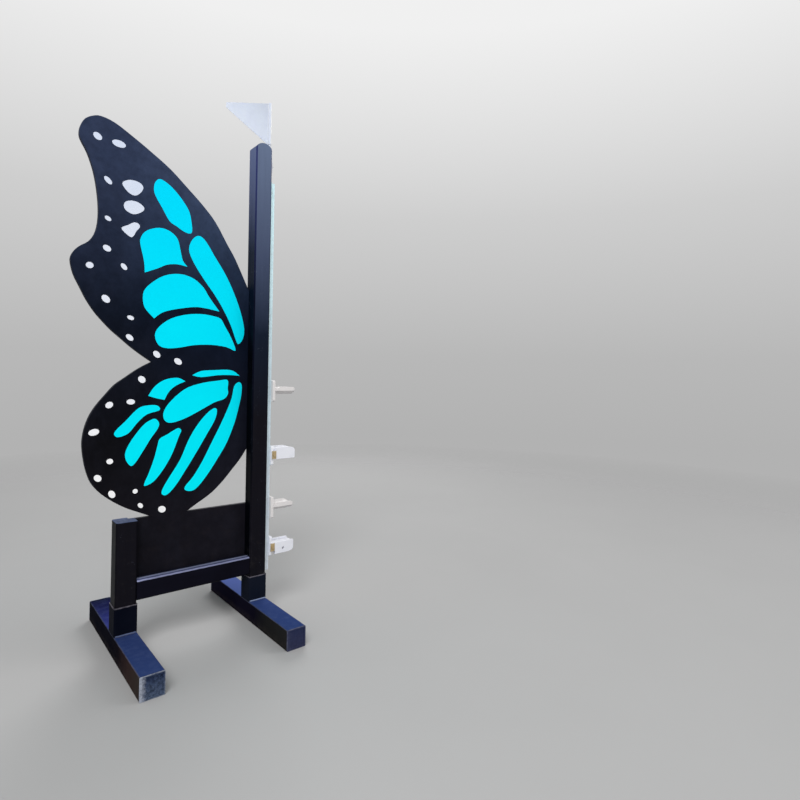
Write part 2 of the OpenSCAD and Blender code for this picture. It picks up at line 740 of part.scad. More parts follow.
module cup_track() {
    a = track_w / 2;
    b = track_web_w / 2;
    near = post_r + track_wall;
    far = web_x - track_wall;
    color([0.74, 0.83, 0.87])
        difference() {
            translate([0, 0, track_bottom_z])
                linear_extrude(height = track_top_z - track_bottom_z)
                    polygon([[post_r, -a], [near, -a], [near, -b], [web_x, -b], [web_x, b], [near, b],
                        [near, a], [post_r, a], [post_r, b - track_wall], [far, b - track_wall],
                        [far, -b + track_wall], [post_r, -b + track_wall]]);
            for (n = [0 : key_count - 1])
                translate([far - over, 0, slot_z(n)]) {
                    rotate([0, 90, 0])
                        cylinder(d = key_slot_w, h = track_wall + 2 * over);
                    translate([0, 0, key_drop])
                        rotate([0, 90, 0])
                            cylinder(d = key_head_d, h = track_wall + 2 * over);
                    translate([0, -key_slot_w / 2, 0])
                        cube([track_wall + 2 * over, key_slot_w, key_drop]);
                }
            at_track_screws()
                screw_hole(track_wall + screw_bite);
        }
}

module track_screws() {
    color([0.72, 0.75, 0.78])
        at_track_screws()
            pan_screw(track_wall + screw_bite);
}

// A cup's own place: the middle of its plate's back, over two keyholes
module at_cup(n) {
    translate([plate_x, 0, slot_z(n) + key_pitch / 2])
        children();
}

// Back plate with rounded corners and two holes for the studs
module cup_plate(w, h) {
    r = plate_corner_r;
    difference() {
        union() {
            translate([0, -w / 2 + r, -h / 2])
                cube([plate_t, w - 2 * r, h]);
            translate([0, -w / 2, -h / 2 + r])
                cube([plate_t, w, h - 2 * r]);
            for (y = [-1, 1], z = [-1, 1])
                translate([0, y * (w / 2 - r), z * (h / 2 - r)])
                    rotate([0, 90, 0])
                        cylinder(r = r, h = plate_t);
        }
        for (z = [-1, 1])
            translate([-over, 0, z * key_pitch / 2])
                rotate([0, 90, 0])
                    cylinder(d = stud_tail_d + 2 * tail_play, h = plate_t + 2 * over);
    }
}

// Round trough along X for a pole, its lips at the given height
module pole_seat(x, z, l) {
    translate([x, 0, z - seat_depth + seat_r])
        rotate([0, 90, 0])
            cylinder(r = seat_r, h = l, $fn = 96);
}

module flat_cup() {
    color([0.88, 0.88, 0.9]) {
        difference() {
            union() {
                cup_plate(cup_w, flat_plate_h);
                intersection() {
                    upright(cup_w / 2, cup_w)
                        polygon([for (p = tray_shares)
                            [plate_t + p[0] * flat_l, -flat_drop + p[1] * flat_h]]);
                    translate([plate_t - over, 0, belly_r - flat_drop])
                        rotate([0, 90, 0])
                            cylinder(r = belly_r, h = flat_l + 2 * over, $fn = 96);
                }
            }
            pole_seat(plate_t, tray_top, flat_l + over);
        }
    }
}

// Two headed studs riveted in a cup's plate
module cup_studs() {
    grip = cup_gap + track_wall + cup_gap;
    color([0.7, 0.72, 0.75])
        for (z = [-1, 1])
            translate([0, 0, z * key_pitch / 2])
                rotate([0, 90, 0]) {
                    translate([0, 0, -grip])
                        cylinder(d = stud_d, h = grip);
                    translate([0, 0, -grip - stud_head_t])
                        cylinder(d = stud_head_d, h = stud_head_t);
                    cylinder(d = stud_tail_d, h = plate_t);
                }
}

module deep_plate() {
    color([0.88, 0.88, 0.9])
        difference() {
            union() {
                cup_plate(deep_plate_w, deep_plate_h);
                translate([plate_t, -deep_plate_w / 2, bolt_up - washer_h / 2])
                    cube([lug_l, deep_plate_w, washer_h]);
            }
            translate([bolt_x, -cup_w, bolt_up])
                rotate([-90, 0, 0])
                    cylinder(d = bolt_d + 2 * bolt_play, h = 2 * cup_w);
        }
}

module deep_block() {
    color([0.86, 0.86, 0.89])
        difference() {
            union() {
                upright(cup_w / 2, cup_w)
                    polygon([for (p = block_shares)
                        [block_x + p[0] * block_l, deep_low + p[1] * deep_h]]);
                for (y = [-cup_w / 2, cup_w / 2 - cheek_t])
                    translate([bolt_x - washer_w / 2, y, bolt_up - washer_h / 2])
                        cube([block_x - bolt_x + washer_w / 2, cheek_t, washer_h]);
            }
            pole_seat(block_x - over, deep_rise, block_l + 2 * over);
            translate([block_x - over, -seat_w / 2, deep_low - over])
                cube([block_l + 2 * over, seat_w, plank_depth + over]);
            translate([bolt_x, -cup_w, bolt_up])
                rotate([-90, 0, 0])
                    cylinder(d = bolt_d + 2 * bolt_play, h = 2 * cup_w);
            translate([plate_t + side_hole_shares[0] * deep_l, cup_w / 2 - side_hole_depth,
                deep_low + side_hole_shares[1] * deep_h])
                rotate([-90, 0, 0])
                    cylinder(d = side_hole_d, h = side_hole_depth + over);
        }
}

// Cross bolt with its head to the front
module cross_bolt() {
    reach = cup_w / 2 + washer_t;
    color([0.72, 0.6, 0.32])
        translate([bolt_x, 0, bolt_up])
            rotate([-90, 0, 0]) {
                translate([0, 0, -reach])
                    cylinder(d = bolt_d, h = 2 * reach + bolt_head_t + screw_play);
                translate([0, 0, -reach - bolt_head_t])
                    cylinder(d = bolt_head_d, h = bolt_head_t, $fn = 6);
            }
}

// Washer plates and nut of the cross bolt
module bolt_fittings() {
    color([0.72, 0.6, 0.32])
        translate([bolt_x, 0, bolt_up])
            rotate([-90, 0, 0])
                difference() {
                    union() {
                        for (y = [-cup_w / 2 - washer_t, cup_w / 2])
                            translate([-washer_w / 2, -washer_h / 2, y])
                                cube([washer_w, washer_h, washer_t]);
                        translate([0, 0, cup_w / 2 + washer_t])
                            cylinder(d = bolt_head_d, h = bolt_head_t, $fn = 6);
                    }
                    translate([0, 0, -cup_w])
                        cylinder(d = bolt_d + 2 * bolt_play, h = 2 * cup_w);
                }
}

module top_cup() {
    at_cup(top_cup_hole)
        flat_cup();
}

module top_cup_studs() {
    at_cup(top_cup_hole)
        cup_studs();
}

module low_cup() {
    at_cup(low_cup_hole)
        flat_cup();
}

module low_cup_studs() {
    at_cup(low_cup_hole)
        cup_studs();
}

module mid_cup_plate() {
    at_cup(mid_cup_hole)
        deep_plate();
}

module mid_cup_block() {
    at_cup(mid_cup_hole)
        deep_block();
}

module mid_cup_bolt() {
    at_cup(mid_cup_hole)
        cross_bolt();
}

module mid_cup_fittings() {
    at_cup(mid_cup_hole)
        bolt_fittings();
}

module mid_cup_studs() {
    at_cup(mid_cup_hole)
        cup_studs();
}

// The base cup is the same deep cup turned over, plank seat up
module base_cup_plate() {
    at_cup(base_cup_hole)
        rotate([180, 0, 0])
            deep_plate();
}

module base_cup_block() {
    at_cup(base_cup_hole)
        rotate([180, 0, 0])
            deep_block();
}

module base_cup_bolt() {
    at_cup(base_cup_hole)
        rotate([180, 0, 0])
            cross_bolt();
}

module base_cup_fittings() {
    at_cup(base_cup_hole)
        rotate([180, 0, 0])
            bolt_fittings();
}

module base_cup_studs() {
    at_cup(base_cup_hole)
        cup_studs();
}

module flag_holder() {
    color([0.9, 0.9, 0.92])
        difference() {
            translate([post_r, flag_back - holder_w / 2, holder_z])
                cube([holder_t, holder_w, holder_h]);
            translate([rod_x, flag_back, holder_z + holder_floor])
                cylinder(d = rod_d + 2 * rod_play, h = holder_h);
            at_holder_screws()
                screw_hole(holder_t + screw_bite);
        }
}

module holder_screws() {
    color([0.75, 0.77, 0.8])
        at_holder_screws()
            pan_screw(holder_t + screw_bite);
}

module flag_rod() {
    color([0.88, 0.89, 0.92])
        translate([rod_x, flag_back, rod_bottom_z])
            cylinder(d = rod_d, h = rod_top_z - rod_bottom_z);
}

module flag_blade() {
    low = flag_top_z - flag_h;
    color([0.86, 0.88, 0.94])
        translate([rod_x, flag_back, 0])
            rotate([0, 0, flag_turn])
                difference() {
                    union() {
                        translate([0, 0, low])
                            cylinder(d = sleeve_d, h = flag_h);
                        upright(flag_t / 2, flag_t)
                            polygon([[0, low], [0, flag_top_z], [flag_l, flag_top_z],
                                [flag_l, flag_top_z - flag_tip], [sleeve_d / 2, low]]);
                    }
                    translate([0, 0, low - over])
                        cylinder(d = rod_d + 2 * sleeve_play, h = flag_h - sleeve_cap + over);
                }
}

main_post();
outer_post();
bottom_rail();
wing_panel();
blue_cells_front();
blue_cells_back();
white_spots_front();
white_spots_back();
panel_screws();
inner_foot_tube();
outer_foot_tube();
inner_socket();
outer_socket();
inner_foot_plugs();
outer_foot_plugs();
socket_screws();
cup_track();
track_screws();
top_cup();
top_cup_studs();
low_cup();
low_cup_studs();
mid_cup_plate();
mid_cup_block();
mid_cup_bolt();
mid_cup_fittings();
mid_cup_studs();
base_cup_plate();
base_cup_block();
base_cup_bolt();
base_cup_fittings();
base_cup_studs();
flag_holder();
holder_screws();
flag_rod();
flag_blade();
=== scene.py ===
"""Looks of a show jump wing: painted timber and sheet, powder-coated feet, a galvanised
keyhole track, moulded cups and a small flag. Metres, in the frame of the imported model."""

import json
import math

import bmesh
import bpy
from mathutils import Matrix, Vector


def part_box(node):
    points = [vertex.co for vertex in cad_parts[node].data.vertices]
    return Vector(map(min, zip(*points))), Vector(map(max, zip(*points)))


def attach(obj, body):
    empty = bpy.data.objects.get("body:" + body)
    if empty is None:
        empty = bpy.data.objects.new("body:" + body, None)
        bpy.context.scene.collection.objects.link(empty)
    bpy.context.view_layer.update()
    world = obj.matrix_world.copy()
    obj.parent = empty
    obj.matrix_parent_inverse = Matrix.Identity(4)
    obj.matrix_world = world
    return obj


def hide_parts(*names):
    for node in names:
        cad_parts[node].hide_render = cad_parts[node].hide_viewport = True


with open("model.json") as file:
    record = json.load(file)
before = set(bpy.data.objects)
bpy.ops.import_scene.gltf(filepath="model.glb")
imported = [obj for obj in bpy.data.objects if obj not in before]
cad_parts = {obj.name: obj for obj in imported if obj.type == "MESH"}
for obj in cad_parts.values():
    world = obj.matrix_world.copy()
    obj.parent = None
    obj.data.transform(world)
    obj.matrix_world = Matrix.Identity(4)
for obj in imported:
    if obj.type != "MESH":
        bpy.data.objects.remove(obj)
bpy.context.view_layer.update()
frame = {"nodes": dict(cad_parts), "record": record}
nodes = frame["nodes"]
body_of_node = {n: b for b, ns in frame["record"]["behaviour"]["bodies"].items() for n in ns}
slot_of_node = {s["node"]: s["material_slot"] for s in frame["record"]["subparts"]}
scene = bpy.context.scene
scene.view_settings.view_transform = "Standard"

# Refractive index of the paints and films, low so that dark coats mirror little of the backdrop
GLOSS_IOR = 1.08
SATIN_IOR = 1.04

# Places along X between which the outer foot's tones change to the inner foot's
OUTER_SIDE = -0.3
INNER_SIDE = -0.15

# Rounded edges: turns between faces that count as sharp or as flat, distance under which two
# points become one, steps of the arc, and its width on each node
SHARP_TURN = math.radians(32)
FLAT_TURN = math.radians(0.6)
SAME_POINT = 1.5e-4
ROUND_STEPS = 3
ROUND_WIDTHS = {
    "main_post": 0.0009,
    "outer_post": 0.0016,
    "bottom_rail": 0.0010,
    "wing_panel": 0.0018,
    "top_cup": 0.0006,
    "low_cup": 0.0006,
    "mid_cup_plate": 0.0014,
    "mid_cup_block": 0.0010,
    "base_cup_plate": 0.0014,
    "base_cup_block": 0.0010,
    "flag_holder": 0.0008,
    "flag_blade": 0.0004,
    "inner_foot_plugs": 0.0009,
    "outer_foot_plugs": 0.0009,
}

# Weld beads: section, rings and ripples along the bead, narrow ends, place beside the socket
WELD_RADIUS = 0.0029
WELD_SIDES = 10
WELD_RING_STEP = 0.0007
WELD_RIPPLE_STEP = 0.0034
WELD_RIPPLE_DEPTH = 0.18
WELD_END = 0.4
WELD_OFF_SOCKET = 0.0005
WELD_ABOVE_FOOT = 0.0012
WELD_FROM_CORNER = 0.004

# Floor disc: radius where it starts to fade, radius where it is gone, sides
FLOOR_SOLID = 1.6
FLOOR_GONE = 5.5
FLOOR_SIDES = 96

# Strength of the even light, and diameter of each lamp
WORLD_LIGHT = 0.5
LAMP_SIZE = 3.0

# Camera of the photograph: side of the picture, focal length and row of the optical axis in
# pixels, width of the sensor in millimetres, and the camera's place and directions
PHOTO_SIDE = 800
FOCAL_PIXELS = 544.75
AXIS_ROW = 374.5
SENSOR_WIDTH = 36.0
CAMERA_PLACE = (-0.928674, -1.950684, 0.913929)
CAMERA_RIGHT = Vector((0.764154, -0.644846, 0.015532))
CAMERA_UP = Vector((-0.016497, 0.004534, 0.999854))
CAMERA_AHEAD = Vector((0.644822, 0.764299, 0.007174))


def srgb(*parts):
    """Linear colour of a screen colour, given as red, green and blue from 0 to 255."""
    linear = []
    for part in parts:
        c = part / 255
        linear.append(c / 12.92 if c <= 0.04045 else ((c + 0.055) / 1.055) ** 2.4)
    return (*linear, 1.0)


class Look:
    """A material's node tree, with short names for the nodes that are used here."""

    def __init__(self, name):
        self.mat = bpy.data.materials.new(name)
        self.mat.use_nodes = True
        self.tree = self.mat.node_tree
        self.tree.nodes.clear()
        self.out = self.add("ShaderNodeOutputMaterial")
        self.bsdf = self.add("ShaderNodeBsdfPrincipled")
        self.tree.links.new(self.bsdf.outputs[0], self.out.inputs[0])
        self.place = self.add("ShaderNodeTexCoord").outputs["Object"]

    def add(self, kind, **props):
        node = self.tree.nodes.new(kind)
        for k, v in props.items():
            setattr(node, k, v)
        return node

    def put(self, socket, value):
        """Links a socket to a value that is an output, or else sets it."""
        if isinstance(value, bpy.types.NodeSocket):
            self.tree.links.new(value, socket)
        else:
            socket.default_value = value

    def set(self, **values):
        """Sets the shader's sockets by name, with _ for a space."""
        for k, v in values.items():
            self.put(self.bsdf.inputs[k.replace("_", " ")], v)

    def stretched(self, sx, sy, sz):
        n = self.add("ShaderNodeMapping")
        self.put(n.inputs["Vector"], self.place)
        n.inputs["Scale"].default_value = (sx, sy, sz)
        return n.outputs[0]

    def noise(self, scale, detail=3.0, rough=0.55, at=None):
        n = self.add("ShaderNodeTexNoise")
        self.put(n.inputs["Vector"], at or self.place)
        n.inputs["Scale"].default_value = scale
        n.inputs["Detail"].default_value = detail
        n.inputs["Roughness"].default_value = rough
        return n.outputs["Fac"]

    def cells(self, scale, out):
        n = self.add("ShaderNodeTexVoronoi")
        self.put(n.inputs["Vector"], self.place)
        n.inputs["Scale"].default_value = scale
        return n.outputs[out]

    def wave(self, scale, distortion, direction):
        n = self.add("ShaderNodeTexWave", wave_type="BANDS", bands_direction=direction)
        self.put(n.inputs["Vector"], self.place)
        n.inputs["Scale"].default_value = scale
        n.inputs["Distortion"].default_value = distortion
        return n.outputs["Fac"]

    def span(self, value, lo, hi, to_lo=0.0, to_hi=1.0):
        """A value carried from one range to another, and held inside the second."""
        n = self.add("ShaderNodeMapRange", clamp=True)
        self.put(n.inputs["Value"], value)
        n.inputs["From Min"].default_value = lo
        n.inputs["From Max"].default_value = hi
        n.inputs["To Min"].default_value = to_lo
        n.inputs["To Max"].default_value = to_hi
        return n.outputs["Result"]

    def vary(self, noise, to_lo=0.0, to_hi=1.0):
        """The usual range of a noise, spread between two values."""
        return self.span(noise, 0.3, 0.7, to_lo, to_hi)

    def calc(self, op, a, b=0.0):
        n = self.add("ShaderNodeMath", operation=op)
        self.put(n.inputs[0], a)
        self.put(n.inputs[1], b)
        return n.outputs[0]

    def times(self, a, b):
        return self.calc("MULTIPLY", a, b)

    def mix(self, fac, a, b):
        """Mix of two colours, which are sockets 6 and 7 of the node and come out at 2."""
        n = self.add("ShaderNodeMix", data_type="RGBA")
        self.put(n.inputs[0], fac)
        self.put(n.inputs[6], a)
        self.put(n.inputs[7], b)
        return n.outputs[2]

    def scaled(self, colour, factor):
        n = self.add("ShaderNodeVectorMath", operation="SCALE")
        self.put(n.inputs[0], colour)
        self.put(n.inputs["Scale"], factor)
        return n.outputs[0]

    def dot(self, a, b):
        n = self.add("ShaderNodeVectorMath", operation="DOT_PRODUCT")
        self.put(n.inputs[0], a)
        self.put(n.inputs[1], b)
        return n.outputs["Value"]

    def ramp(self, value, first, *middle_and_last):
        """Colour that follows a value through (value, colour) stops in rising order."""
        *middle, last = middle_and_last
        n = self.add("ShaderNodeValToRGB")
        self.put(n.inputs[0], self.span(value, first[0], last[0]))
        points = n.color_ramp.elements
        points[0].color = first[1]
        points[1].color = last[1]
        for at, colour in middle:
            points.new((at - first[0]) / (last[0] - first[0])).color = colour
        return n.outputs[0]

    def wander(self, value, noise, reach):
        """A value pushed up and down by a noise, so that a fade has no straight edge."""
        return self.calc("ADD", value, self.span(noise, 0.25, 0.75, -reach, reach))

    def axis(self, vector, which):
        n = self.add("ShaderNodeSeparateXYZ")
        self.put(n.inputs[0], vector)
        return n.outputs[which]

    def height(self):
        return self.axis(self.place, "Z")

    def normal(self):
        return self.add("ShaderNodeNewGeometry").outputs["Normal"]

    def facing(self, which="Z"):
        return self.axis(self.normal(), which)

    def slope(self, which):
        return self.calc("ABSOLUTE", self.facing(which))

    def edges(self, radius):
        """One along the sharp edges of the piece, nought on its flats."""
        soft = self.add("ShaderNodeBevel", samples=4)
        soft.inputs["Radius"].default_value = radius
        turned = self.dot(soft.outputs[0], self.normal())
        return self.span(self.calc("SUBTRACT", 1.0, turned), 0.03, 0.22)

    def bump(self, height, strength, distance, after=None):
        n = self.add("ShaderNodeBump")
        n.inputs["Strength"].default_value = strength
        n.inputs["Distance"].default_value = distance
        self.put(n.inputs["Height"], height)
        if after is not None:
            self.put(n.inputs["Normal"], after)
        return n.outputs[0]


def gloss_timber(k, colour, along, grain, cloud):
    """Gloss coat thin enough for the grain of the timber to show."""
    k.set(Base_Color=colour, IOR=GLOSS_IOR)
    k.set(Roughness=k.vary(cloud, 0.3, 0.44))
    fine = k.bump(k.noise(240, 2, 0.5, along), 0.12, 0.0004)
    k.set(Normal=k.bump(grain, 0.35, 0.0009, fine))


def post_look():
    """Gloss black on a post: grain under the coat, paler blue-grey towards the top, partly
    bleached and partly a painted sky reflection, with sides in painted shade.
    """
    k = Look("post_paint")
    along = k.stretched(1, 1, 0.06)
    grain = k.noise(60, 5, 0.6, along)
    cloud = k.noise(4, 4)
    level = k.wander(k.height(), k.noise(6, 5, 0.7, k.stretched(1, 1, 0.35)), 0.04)
    # The front and back, the sides and the eased corners each fade towards the top in their own
    # way, partly a painted sky reflection; lower down the sides and eased corners are written
    # darker as painted shade
    colour = k.ramp(
        level,
        (0.75, srgb(21, 20, 26)),
        (1.08, srgb(22, 30, 45)),
        (1.36, srgb(66, 76, 101)),
        (1.80, srgb(98, 111, 137)),
    )
    side = k.ramp(
        level,
        (1.00, srgb(4, 6, 11)),
        (1.38, srgb(13, 26, 44)),
        (1.63, srgb(69, 80, 114)),
        (1.80, srgb(85, 98, 136)),
    )
    colour = k.mix(k.span(k.slope("X"), 0.75, 0.95), colour, side)
    eased = k.span(k.times(k.slope("X"), k.slope("Y")), 0.3, 0.45)
    edge = k.ramp(
        level,
        (0.45, srgb(18, 17, 23)),
        (0.62, srgb(6, 8, 15)),
        (1.20, srgb(10, 13, 30)),
        (1.75, srgb(46, 52, 98)),
    )
    colour = k.mix(eased, colour, edge)
    colour = k.scaled(colour, k.vary(grain, 0.92, 1.06))
    dots = k.span(k.cells(170, "Distance"), 0.14, 0.08)
    speck = k.times(dots, k.span(k.noise(24), 0.56, 0.64))
    colour = k.mix(k.times(speck, 0.45), colour, srgb(150, 160, 182))
    # Upward faces get worn end grain, paler and bluer partly as a painted sky reflection
    ring = k.noise(38, 4, 0.7, k.stretched(1, 0.35, 1))
    end_grain_and_sheen = k.mix(k.span(ring, 0.35, 0.7), srgb(58, 68, 98), srgb(92, 105, 134))
    colour = k.mix(k.span(k.facing(), 0.25, 0.5), colour, end_grain_and_sheen)
    rub_and_sheen = k.times(k.edges(0.004), k.span(k.noise(22, 5, 0.7), 0.46, 0.68))
    colour = k.mix(k.times(rub_and_sheen, 0.5), colour, srgb(92, 98, 122))
    splash = k.times(k.span(k.height(), 0.42, 0.17), k.span(k.noise(45, 6, 0.7), 0.54, 0.74))
    colour = k.mix(k.times(splash, 0.2), colour, srgb(80, 74, 70))
    gloss_timber(k, colour, along, grain, cloud)
    return k.mat


def rail_look():
    """Gloss black on the rail: on its top a rubbed chamfer that is partly a painted highlight, a
    blue-grey painted sky reflection, a pale line, and a painted reflection of the dark sheet at
    the back.
    """
    k = Look("rail_paint")
    along = k.stretched(0.06, 1, 1)
    grain = k.noise(60, 5, 0.6, along)
    cloud = k.noise(5, 4)
    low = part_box("bottom_rail")[0]
    colour = k.mix(k.span(cloud, 0.35, 0.7), srgb(13, 12, 20), srgb(18, 18, 29))
    depth = k.calc("SUBTRACT", k.axis(k.place, "Y"), low.y)
    # From the front edge back: the front arris in painted shade, a rubbed chamfer that is partly a
    # painted highlight, a darker step whose blue-grey is a painted sky reflection, a pale line,
    # and a dark strip that is a painted reflection of the dark sheet
    dust_and_sheen = k.ramp(
        k.wander(depth, k.noise(34, 4), 0.0012),
        (0.0000, srgb(70, 74, 100)),
        (0.0012, srgb(126, 130, 160)),
        (0.0032, srgb(124, 128, 158)),
        (0.0052, srgb(66, 72, 102)),
        (0.0120, srgb(66, 72, 102)),
        (0.0180, srgb(122, 128, 156)),
        (0.0240, srgb(116, 122, 150)),
        (0.0305, srgb(20, 22, 34)),
        (0.0480, srgb(15, 16, 24)),
    )
    end = k.span(k.axis(k.place, "X"), low.x + 0.03, low.x + 0.09, 1.5, 1.0)
    dust_and_sheen = k.scaled(dust_and_sheen, k.times(end, k.vary(k.noise(22, 5, 0.75), 0.8, 1.15)))
    colour = k.mix(k.span(k.facing(), 0.3, 0.55), colour, dust_and_sheen)
    colour = k.scaled(colour, k.vary(grain, 0.92, 1.06))
    gloss_timber(k, colour, along, grain, cloud)
    return k.mat


def sheet_look():
    """Gloss black sheet: flat coat with orange peel, paler and bluer towards the top, partly faded
    and partly a painted sky reflection, layered rim.
    """
    k = Look("sheet_paint")
    cloud = k.noise(3.2, 5, 0.6)
    level = k.wander(k.height(), cloud, 0.05)
    # Fades of the side away from the main post and of the side beside it, towards the top partly a
    # painted sky reflection
    outer = k.ramp(
        level,
        (0.44, srgb(20, 19, 24)),
        (0.70, srgb(15, 15, 19)),
        (1.14, srgb(16, 21, 33)),
        (1.62, srgb(44, 53, 76)),
    )
    inner = k.ramp(
        level,
        (0.44, srgb(25, 24, 31)),
        (1.12, srgb(12, 20, 36)),
        (1.40, srgb(45, 58, 82)),
        (1.62, srgb(60, 72, 98)),
    )
    colour = k.mix(k.span(k.axis(k.place, "X"), -0.5, -0.1), outer, inner)
    mottle = k.noise(26, 6, 0.72)
    colour = k.scaled(colour, k.vary(mottle, 0.78, 1.24))
    smear = k.span(k.noise(9, 6, 0.75, k.stretched(1, 1, 0.35)), 0.5, 0.8)
    colour = k.mix(k.times(smear, 0.1), colour, srgb(62, 66, 84))
    stain = k.times(k.span(k.height(), 0.62, 0.3), k.span(k.noise(20, 6, 0.75), 0.5, 0.75))
    colour = k.mix(k.times(stain, 0.14), colour, srgb(54, 46, 44))
    # Rubbed edges, pale partly as a painted highlight along the rim
    rub_and_sheen = k.times(k.edges(0.004), k.span(k.noise(30, 5, 0.7), 0.42, 0.68))
    colour = k.mix(k.times(rub_and_sheen, 0.4), colour, srgb(80, 86, 108))
    rim = k.span(k.slope("Y"), 0.5, 0.2)
    ply = k.wave(62.0, 1.2, "Y")
    layers = k.mix(ply, srgb(14, 15, 22), srgb(28, 31, 43))
    colour = k.mix(k.times(rim, 0.5), colour, layers)
    k.set(Base_Color=colour, IOR=GLOSS_IOR)
    k.set(Roughness=k.span(cloud, 0.3, 0.75, 0.3, 0.46))
    peel = k.bump(k.noise(420, 2, 0.5), 0.08, 0.0004)
    k.set(Normal=k.bump(k.times(rim, ply), 0.3, 0.0005, peel))
    return k.mat


def film(name, low_tone, high_tone):
    """Cut plastic film: colour that shifts with height, a few fine scuffs."""
    k = Look(name)
    level = k.wander(k.height(), k.noise(7, 5, 0.65), 0.12)
    colour = k.ramp(level, (0.5, low_tone), (1.6, high_tone))
    scuff = k.span(k.noise(60, 5, 0.8, k.stretched(1, 1, 0.12)), 0.68, 0.8)
    colour = k.mix(k.times(scuff, 0.1), colour, srgb(96, 122, 140))
    k.set(Base_Color=colour, IOR=GLOSS_IOR)
    k.set(Roughness=k.vary(k.noise(25, 3), 0.36, 0.5))
    k.set(Normal=k.bump(k.noise(500, 2), 0.06, 0.0003))
    return k.mat


def foot_look():
    """Satin coat on a foot: dusty blue top that is partly a painted sky reflection, pale rubbed
    corners, mud low down and in front.
    """
    k = Look("foot_coat")
    cloud = k.noise(9, 5, 0.65)
    low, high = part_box("inner_foot_tube")
    along = k.wander(k.axis(k.place, "Y"), cloud, 0.04)
    inner = k.span(k.axis(k.place, "X"), OUTER_SIDE, INNER_SIDE)
    # Tones from the front end of a foot to its back end. The tops' blue is partly a painted sky
    # reflection, paler towards the inner foot's back end and darker towards the outer foot's; the
    # inner foot's side is written paler towards its back end, painted light against the shade that
    # falls there
    outer_side = k.ramp(
        along,
        (low.y, srgb(53, 47, 44)),
        (low.y + 0.12, srgb(50, 37, 36)),
        (low.y + 0.28, srgb(4, 4, 15)),
        (high.y, srgb(3, 3, 16)),
    )
    inner_side = k.ramp(
        along,
        (low.y, srgb(38, 38, 38)),
        (low.y + 0.14, srgb(31, 31, 32)),
        (low.y + 0.24, srgb(14, 12, 26)),
        (high.y, srgb(22, 20, 39)),
    )
    outer_top = k.ramp(
        along,
        (low.y, srgb(42, 58, 102)),
        (-0.04, srgb(37, 52, 95)),
        (0.05, srgb(48, 55, 122)),
        (high.y, srgb(5, 7, 32)),
    )
    inner_top = k.ramp(
        along,
        (low.y, srgb(37, 55, 101)),
        (-0.04, srgb(46, 63, 113)),
        (0.05, srgb(84, 104, 168)),
        (high.y, srgb(92, 109, 179)),
    )
    side = k.mix(inner, outer_side, inner_side)
    top = k.mix(inner, outer_top, inner_top)
    dust_and_sheen = k.span(k.noise(40, 6, 0.75), 0.46, 0.72, 0.0, 0.18)
    top = k.mix(dust_and_sheen, top, srgb(88, 102, 142))
    colour = k.mix(k.span(k.facing(), 0.75, 0.95), side, top)
    corner = k.times(k.span(k.facing(), 0.3, 0.5), k.span(k.facing(), 0.97, 0.85))
    worn = k.times(corner, k.span(k.noise(26, 6, 0.75), 0.34, 0.58, 0.1, 0.5))
    worn = k.times(worn, k.span(k.facing("X"), -0.4, 0.4, 0.45, 1.0))
    colour = k.mix(worn, colour, srgb(128, 138, 170))
    mud = k.times(k.span(k.height(), 0.03, 0.0), k.span(k.noise(50, 6, 0.75), 0.42, 0.68))
    colour = k.mix(k.times(mud, 0.5), colour, srgb(78, 70, 66))
    k.set(Base_Color=colour, IOR=SATIN_IOR)
    k.set(Roughness=k.vary(cloud, 0.5, 0.66))
    k.set(Normal=k.bump(k.noise(700, 2), 0.15, 0.0004))
    return k.mat


def socket_look(name, tone, shade, bare):
    """Satin coat on a socket or its welds, rubbed to the metal along the rim and corners."""
    k = Look(name)
    cloud = k.noise(14, 5, 0.65)
    colour = k.mix(k.span(cloud, 0.35, 0.7), tone, shade)
    rim_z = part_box("inner_socket")[1].z
    level = k.wander(k.height(), k.noise(60, 4, 0.7), 0.002)
    lip = k.span(level, rim_z - 0.004, rim_z - 0.002)
    rub_and_sheen = k.calc("MAXIMUM", lip, k.times(k.edges(0.002), 0.6))
    rub_and_sheen = k.times(rub_and_sheen, k.span(k.noise(34, 5, 0.7), 0.34, 0.54, 0.2, 1.0))
    colour = k.mix(k.times(rub_and_sheen, 0.7), colour, bare)
    k.set(Base_Color=colour, IOR=SATIN_IOR)
    k.set(Metallic=k.times(rub_and_sheen, 0.2))
    k.set(Roughness=k.vary(cloud, 0.38, 0.52))
    k.set(Normal=k.bump(k.noise(700, 2), 0.15, 0.0004))
    return k.mat


def cap_look(name, node, upper, lower, dust_and_sheen, side_dust, rim_dust, contrast):
    """Moulded end plugs: speckled face that changes downwards, dust on its -X side and its rim."""
    k = Look(name)
    low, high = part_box(node)
    middle = (low + high) / 2
    half = (high.x - low.x) / 2
    across = k.calc("SUBTRACT", k.axis(k.place, "X"), middle.x)
    up = k.calc("SUBTRACT", k.height(), middle.z)
    out = k.calc("MAXIMUM", k.calc("ABSOLUTE", across), k.calc("ABSOLUTE", up))
    patches = k.noise(48, 6, 0.8)
    speckle = k.noise(150, 5, 0.8)
    colour = k.mix(k.span(k.wander(up, patches, 0.03), half, -half), upper, lower)
    colour = k.scaled(colour, k.span(speckle, 0.36, 0.64, 1 - contrast, 1 + contrast))
    outward = k.span(k.wander(across, patches, 0.007), -half + 0.018, -half + 0.003)
    outward = k.times(outward, k.span(speckle, 0.3, 0.58, 0.35 * side_dust, side_dust))
    rim = k.span(out, half - 0.0035, half - 0.0005)
    rim = k.times(rim, k.span(patches, 0.36, 0.6, 0.16 * rim_dust, rim_dust))
    colour = k.mix(k.calc("MAXIMUM", outward, rim), colour, dust_and_sheen)
    k.set(Base_Color=colour, IOR=SATIN_IOR)
    k.set(Roughness=k.vary(k.noise(40, 4), 0.46, 0.62))
    k.set(Normal=k.bump(k.noise(900, 2), 0.12, 0.0003))
    return k.mat


